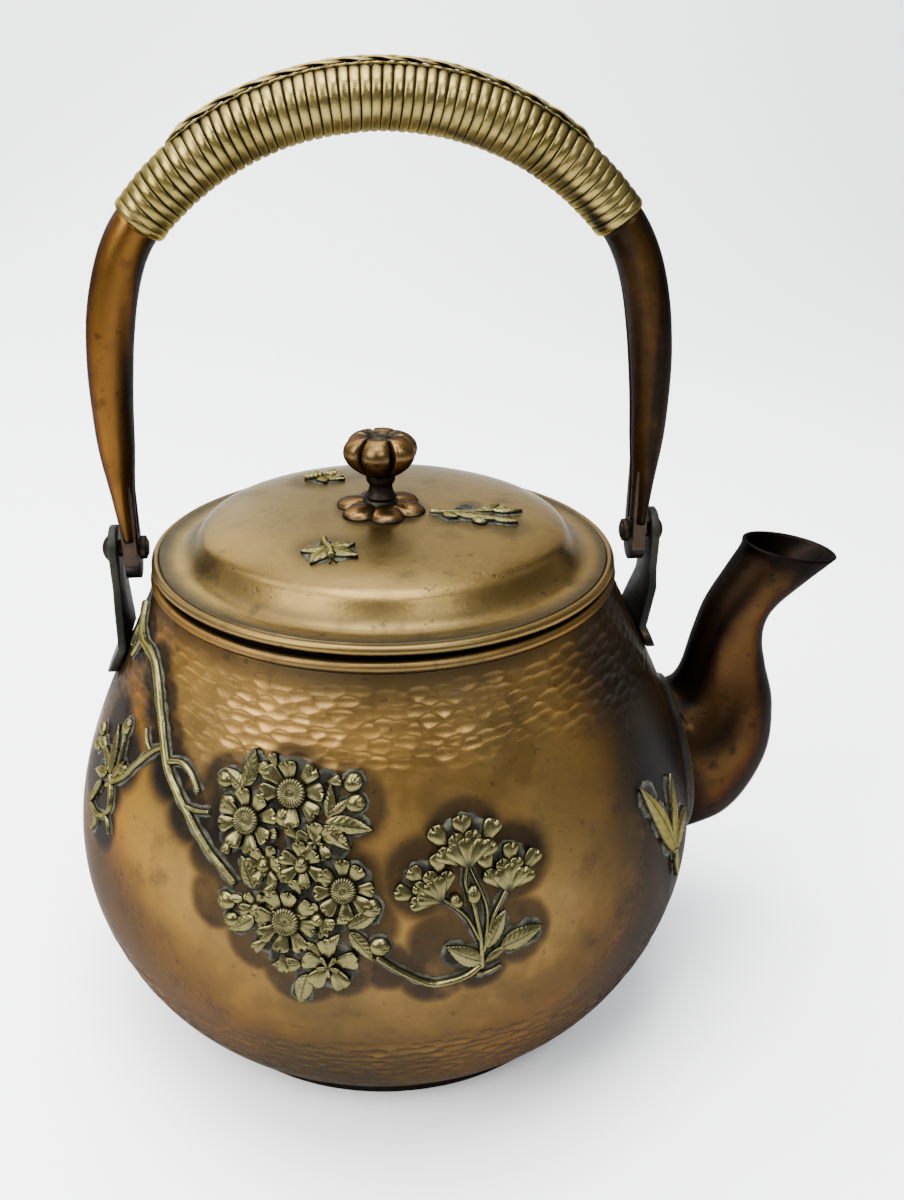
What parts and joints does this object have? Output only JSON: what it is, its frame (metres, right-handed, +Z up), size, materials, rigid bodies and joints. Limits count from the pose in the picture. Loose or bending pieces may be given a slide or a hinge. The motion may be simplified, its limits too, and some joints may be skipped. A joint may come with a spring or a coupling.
{
  "type": "kettle",
  "caption": "Round-bellied copper kettle with a tall swinging bail, short curved spout, lift-off domed lid with a bud knob and brass blossom relief.",
  "frame": {"origin": "centre of the flat underside of the base", "axes": "+Z up, +X towards the spout, -Y the front with the blossom relief; the bail stands in the XZ plane and its pins lie along X"},
  "size_m": [0.2062, 0.1689, 0.2413],
  "materials": {
    "hammered_copper": "brown patinated copper, hammered, satin",
    "lid_copper": "brown patinated copper, planished smooth, satin",
    "spout_copper": "brown copper, fire darkened, satin",
    "handle_copper": "warm brown copper worn by the hand, satin",
    "dark_copper": "dark brown copper, satin",
    "solder": "grey soft solder, dull",
    "lug_bronze": "grey green bronze strip, dull",
    "tang_iron": "black iron strip, dull",
    "wrap_brass": "aged greenish brass strip, dark between the turns",
    "relief_brass": "aged brass castings with dark grey green recesses"
  },
  "bodies": {
    "kettle": {"body_shell": "hammered_copper", "base_plate": "dark_copper", "foot_ring": "dark_copper", "mouth_bead": "hammered_copper", "spout": "spout_copper", "spout_seam": "solder", "lug_left": "lug_bronze", "lug_right": "lug_bronze", "pin_left": "dark_copper", "pin_right": "dark_copper", "rove_left": "dark_copper", "rove_right": "dark_copper", "branch": "relief_brass", "blossom_cluster": "relief_brass", "blossom_spray": "relief_brass", "sprig_left": "relief_brass", "sprig_spout": "relief_brass"},
    "lid": {"lid_shell": "lid_copper", "lid_bead": "lid_copper", "lid_sleeve": "lid_copper", "knob_rosette": "dark_copper", "knob_stem": "dark_copper", "knob_bud": "dark_copper", "knob_burr": "dark_copper", "lid_insect_front": "relief_brass", "lid_insect_back": "relief_brass", "lid_sprig": "relief_brass"},
    "bail": {"tang_left": "tang_iron", "tang_right": "tang_iron", "handle_tube": "handle_copper", "grip_wrap": "wrap_brass", "grip_braid": "wrap_brass"}
  },
  "joints": [
    {"name": "lid_lift", "type": "slide", "parent": "kettle", "child": "lid", "axis": [0, 0, 1], "range_m": [0, 0.036]},
    {"name": "bail_swing", "type": "hinge", "parent": "kettle", "child": "bail", "pos_m": [0, 0, 0.1285], "axis": [1, 0, 0], "range_deg": [-115, 115]}
  ]
}
